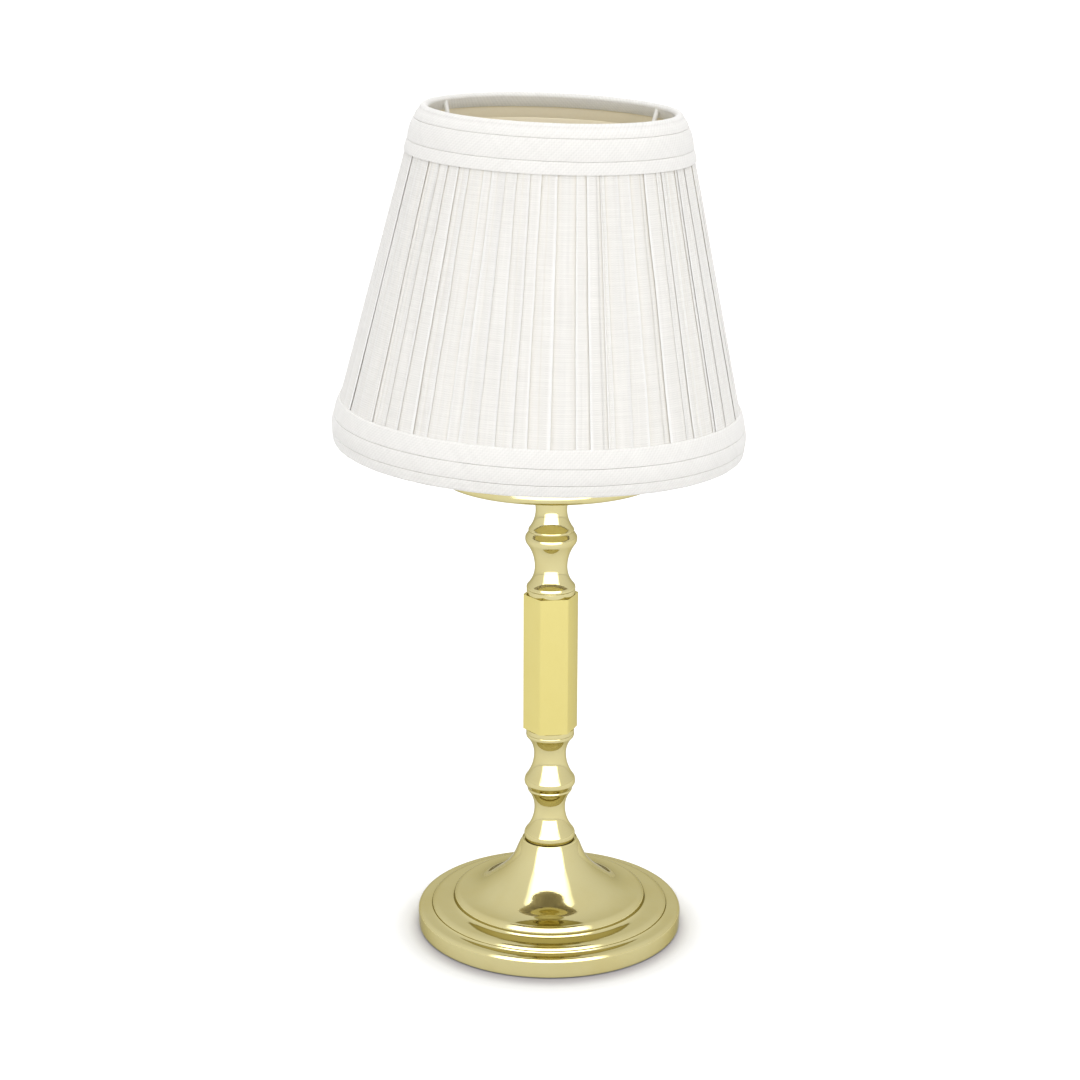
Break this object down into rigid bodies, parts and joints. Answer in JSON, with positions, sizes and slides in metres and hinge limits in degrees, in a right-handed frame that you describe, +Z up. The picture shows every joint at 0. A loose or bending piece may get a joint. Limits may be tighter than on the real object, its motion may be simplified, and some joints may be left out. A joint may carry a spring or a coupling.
{
  "type": "candle lamp",
  "caption": "Turned brass candlestick with a shallow dish, a glass chimney round a liquid candle and a leaning pleated shade on the chimney's ring.",
  "frame": {"origin": "on the table, under the middle of the foot", "axes": "+Z up along the column, -Y towards the viewer of the picture, +X to the viewer's right"},
  "size_m": [0.1415, 0.1416, 0.2947],
  "materials": {
    "brass": "polished and lacquered",
    "iron": "rough casting",
    "felt": "felt",
    "steel": "zinc plated",
    "glass": "clear",
    "painted_wire": "white paint",
    "liner_card": "matt, cream",
    "linen": "white linen weave",
    "clear_plastic": "clear",
    "fuel": "clear liquid",
    "cap_plastic": "satin, black",
    "wick_cotton": "braided glass fibre"
  },
  "bodies": {
    "stand": {"base_shell": "brass", "base_weight": "iron", "felt_pad": "felt", "foot_washer": "steel", "foot_nut": "steel", "tie_rod": "steel", "lower_baluster": "brass", "hex_sleeve": "brass", "upper_baluster": "brass", "dish": "brass", "dish_washer": "steel", "dish_screw": "steel"},
    "chimney": {"glass_chimney": "glass"},
    "ring": {"chimney_ring": "brass"},
    "shade": {"shade_hub": "painted_wire", "shade_arms": "painted_wire", "shade_top_ring": "painted_wire", "shade_bottom_ring": "painted_wire", "shade_liner": "liner_card", "pleated_cover": "linen", "top_trim": "linen", "bottom_trim": "linen"},
    "candle": {"fuel_bottle": "clear_plastic", "liquid_fuel": "fuel", "bottle_cap": "cap_plastic", "wick_tube": "brass", "wick": "wick_cotton"}
  },
  "joints": [
    {"name": "chimney_lift", "type": "slide", "parent": "stand", "child": "chimney", "axis": [0, 0, 1], "range_m": [0, 0.12]},
    {"name": "shade_lift", "type": "slide", "parent": "chimney", "child": "ring", "axis": [0, 0, 1], "range_m": [0, 0.12]},
    {"name": "shade_turn", "type": "hinge", "parent": "ring", "child": "shade", "pos_m": [0, 0, 0.2744], "axis": [0, 0, 1], "continuous": true},
    {"name": "candle_lift", "type": "slide", "parent": "stand", "child": "candle", "axis": [0, 0, 1], "range_m": [0, 0.14]}
  ]
}
